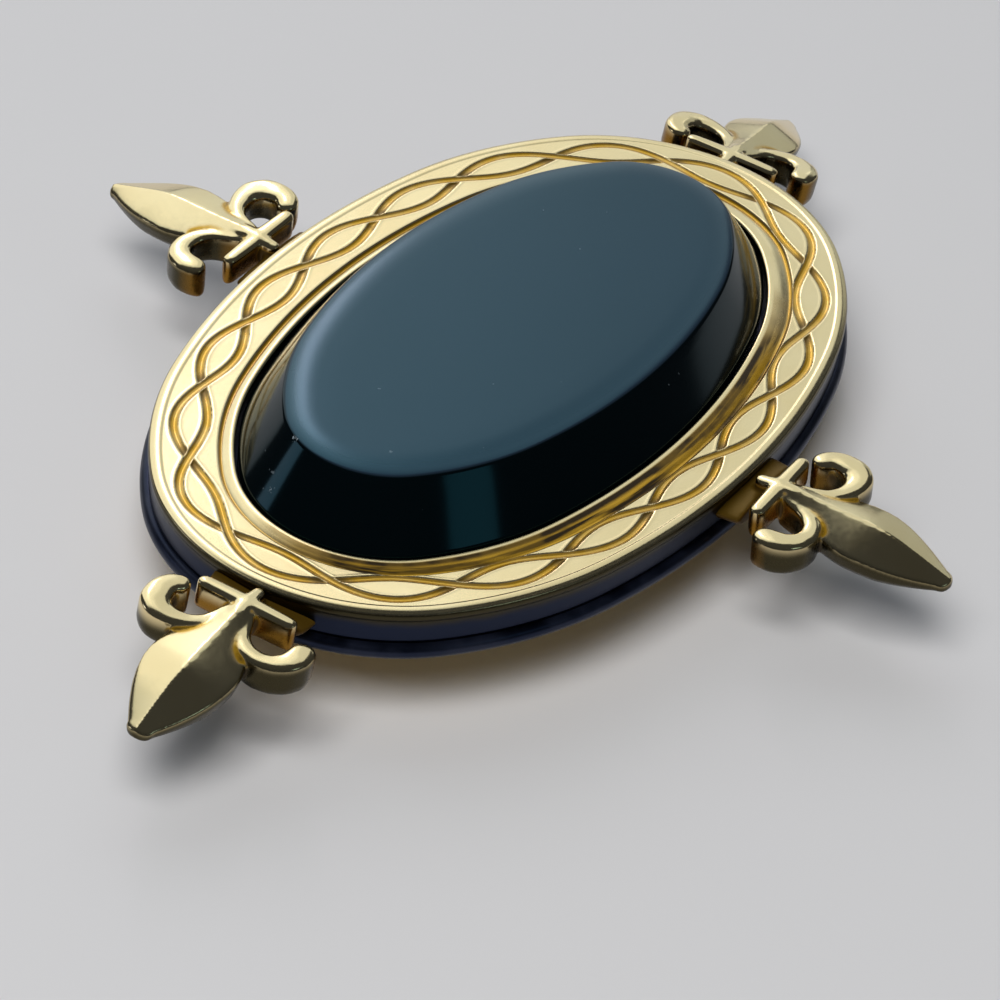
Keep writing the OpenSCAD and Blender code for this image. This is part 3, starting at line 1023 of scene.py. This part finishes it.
class BROOCH_OT_back_plate(bpy.types.Operator):
    """Make the back plate, whose rounded edge shows as a bead below the border"""

    bl_idname = "brooch.back_plate"
    bl_label = "Back Plate"

    def execute(self, context):
        arcs = border_oval()
        places, _ = places_round(arcs, 1.5, 480)
        low, high = PLATE_LOW / MM, PLATE_HIGH / MM
        radius, middle = (high - low) / 2, (high + low) / 2
        rows = [outline(arcs, places, inset, low) for inset in (4, 1)]
        for a in np.linspace(-math.pi / 2, math.pi / 2, 15):
            rows.append(outline(arcs, places, 0.1 - radius * math.cos(a), middle + radius * math.sin(a)))
        rows += [outline(arcs, places, inset, high) for inset in (1, 4)]
        points, faces = lofted(rows)
        material = gilt("plate_gilt", plate_wear_and_shade, 0.24)
        new_piece("beaded_plate", points, faces, material, "back_plate")
        return {"FINISHED"}


def disc(x, radius, low, high, columns=64):
    """A round pad with softened edges."""
    a = np.linspace(0, 2 * math.pi, columns, endpoint=False)
    rings = []
    for r, z in ((radius - 0.12, low), (radius - 0.03, low + 0.04), (radius, low + 0.12), (radius, high)):
        rings.append(np.column_stack([x + r * np.cos(a), r * np.sin(a), np.full(columns, z)]))
    return lofted(rings)


def block(x, length, width, low, high, corner=0.35):
    """A block with rounded corners and softened edges."""
    quarter = np.linspace(0, math.pi / 2, 7)
    rings = []
    for inset, z in ((0.15, low), (0.04, low + 0.04), (0, low + 0.15), (0, high)):
        ring = []
        for turn, (sx, sy) in enumerate(((1, 1), (-1, 1), (-1, -1), (1, -1))):
            cx, cy = x + sx * (length / 2 - corner), sy * (width / 2 - corner)
            a = quarter + turn * math.pi / 2
            r = corner - inset
            ring.append(np.column_stack([cx + r * np.cos(a), cy + r * np.sin(a), np.full(len(a), z)]))
        rings.append(np.concatenate(ring))
    return lofted(rings)


def wire(start, end, height, radius, columns=24):
    """A straight round wire along X."""
    a = np.linspace(0, 2 * math.pi, columns, endpoint=False)
    rings = []
    for x in np.linspace(start, end, 13):
        rings.append(np.column_stack([np.full(columns, x), radius * np.cos(a), height + radius * np.sin(a)]))
    return lofted(rings)


class BROOCH_OT_pin(bpy.types.Operator):
    """Make the pin: a stem between a hinge block and a catch, each on its pad"""

    bl_idname = "brooch.pin"
    bl_label = "Pin"

    def execute(self, context):
        sizes = context.scene.pin_sizes
        top = PIN_TOP / MM
        pad, thickness = sizes.pad_radius / MM, sizes.pad_thickness / MM
        x = PIN_REACH / MM - pad
        parts = []
        for place in (-x, x):
            parts.append(disc(place, pad, top - thickness, top))
            parts.append(block(place, sizes.foot_length / MM, sizes.foot_width / MM, 0, top - 0.3))
        parts.append(wire(-x, x, sizes.stem_height / MM, sizes.stem_radius / MM))
        points, faces = joined(parts)
        new_piece("pin_back", points, faces, gilt("pin_gilt", plain_wear, 0.26), "pin")
        return {"FINISHED"}


class BROOCH_OT_studio(bpy.types.Operator):
    """Lay the floor, hang the lamps and set the camera"""

    bl_idname = "brooch.studio"
    bl_label = "Studio"

    def execute(self, context):
        settings = context.scene.studio_settings
        self.floor(context, settings)
        self.sky(context, settings)
        self.lamp(context, "window", (44, 34), 0.42, (0.485, 0.525), settings.window, (0.9, 0.97, 1.0))
        for panel in PANELS:
            self.lamp(context, *panel)
        fill = self.lamp(context, "overhead", (190, 62), 0.5, (0.3, 0.3), settings.fill, (1.0, 0.98, 0.96))
        fill.visible_glossy = False
        self.camera(context, settings)
        context.scene.view_settings.view_transform = "Standard"
        return {"FINISHED"}

    @staticmethod
    def floor(context, settings, reach=1.5):
        """A wide matt floor, faintly uneven in tone."""
        mesh = bpy.data.meshes.new("floor")
        corners = [(-reach, -reach, 0), (reach, -reach, 0), (reach, reach, 0), (-reach, reach, 0)]
        mesh.from_pydata(corners, [], [(0, 1, 2, 3)])
        finish = Finish("pale_floor")
        darker = (*(0.96 * c for c in settings.floor[:3]), 1)
        finish.surface("Base Color", finish.mixed_colour(finish.grain(0.02, 3), settings.floor[:], darker))
        finish.surface("Roughness", 0.85)
        mesh.materials.append(finish.material)
        floor = bpy.data.objects.new("floor", mesh)
        context.scene.collection.objects.link(floor)

    @staticmethod
    def sky(context, settings):
        """Weak light from all round."""
        world = bpy.data.worlds.new("studio")
        world.use_nodes = True
        background = world.node_tree.nodes["Background"]
        background.inputs["Color"].default_value = settings.sky[:]
        background.inputs["Strength"].default_value = settings.sky_strength
        context.scene.world = world

    @staticmethod
    def lamp(context, name, towards, distance, size, power, colour):
        """A panel that faces the brooch from an azimuth and an elevation, in degrees from +X."""
        azimuth, elevation = (math.radians(a) for a in towards)
        level = math.cos(elevation)
        out = Vector((math.cos(azimuth) * level, math.sin(azimuth) * level, math.sin(elevation)))
        light = bpy.data.lights.new(name, "AREA")
        light.shape = "RECTANGLE"
        light.size, light.size_y = size
        light.energy = power
        light.color = colour
        lamp = bpy.data.objects.new(name, light)
        lamp.location = out * distance
        lamp.rotation_euler = out.to_track_quat("Z", "Y").to_euler()
        context.scene.collection.objects.link(lamp)
        return lamp

    @staticmethod
    def camera(context, settings):
        """The camera at the photograph's viewing angle."""
        a, e = settings.azimuth, settings.elevation
        back = Vector((math.sin(a) * math.cos(e), -math.cos(a) * math.cos(e), math.sin(e)))
        right = (-back).cross(Vector((0, 0, 1))).normalized()
        up = right.cross(-back)
        c, s = math.cos(settings.roll), math.sin(settings.roll)
        right, up = c * right + s * up, c * up - s * right
        centre = Vector((0, 0, context.scene.border_sizes.rim_height))
        aim = centre - settings.aim_left * right - settings.aim_down * up
        data = bpy.data.cameras.new("camera")
        data.sensor_width = 36
        data.lens = settings.lens
        data.clip_start, data.clip_end = 0.01, 10
        camera = bpy.data.objects.new("camera", data)
        turn = Matrix((right, up, back)).transposed().to_4x4()
        camera.matrix_world = Matrix.Translation(aim + back * settings.distance) @ turn
        context.scene.collection.objects.link(camera)
        context.scene.camera = camera


OPERATORS = (
    BROOCH_OT_border,
    BROOCH_OT_fleurs,
    BROOCH_OT_stone,
    BROOCH_OT_back_plate,
    BROOCH_OT_pin,
    BROOCH_OT_studio,
)

GROUPS = {
    "brass_colours": BrassColours,
    "stone_colours": StoneColours,
    "border_sizes": BorderSizes,
    "fleur_sizes": FleurSizes,
    "stone_sizes": StoneSizes,
    "pin_sizes": PinSizes,
    "studio_settings": StudioSettings,
}


class BROOCH_PT_panel(bpy.types.Panel):
    """Lists the brooch's operators and settings"""

    bl_label = "Oval Brooch"
    bl_idname = "BROOCH_PT_panel"
    bl_space_type = "VIEW_3D"
    bl_region_type = "UI"
    bl_category = "Brooch"

    def draw(self, context):
        for operator in OPERATORS:
            self.layout.operator(operator.bl_idname)
        for name, group in GROUPS.items():
            box = self.layout.box()
            box.label(text=group.__doc__)
            for key in group.__annotations__:
                box.prop(getattr(context.scene, name), key)


def register():
    """Adds the settings, the operators and the panel."""
    for group in GROUPS.values():
        bpy.utils.register_class(group)
    for operator in OPERATORS:
        bpy.utils.register_class(operator)
    bpy.utils.register_class(BROOCH_PT_panel)
    for name, group in GROUPS.items():
        setattr(bpy.types.Scene, name, PointerProperty(type=group))


def unregister():
    """Takes them away again."""
    for name in GROUPS:
        delattr(bpy.types.Scene, name)
    bpy.utils.unregister_class(BROOCH_PT_panel)
    for made in (*OPERATORS, *GROUPS.values()):
        bpy.utils.unregister_class(made)


def main():
    """Makes the whole brooch and its studio."""
    register()
    bpy.ops.brooch.border()
    bpy.ops.brooch.fleurs()
    bpy.ops.brooch.stone()
    bpy.ops.brooch.back_plate()
    bpy.ops.brooch.pin()
    bpy.ops.brooch.studio()


if __name__ == "__main__":
    main()
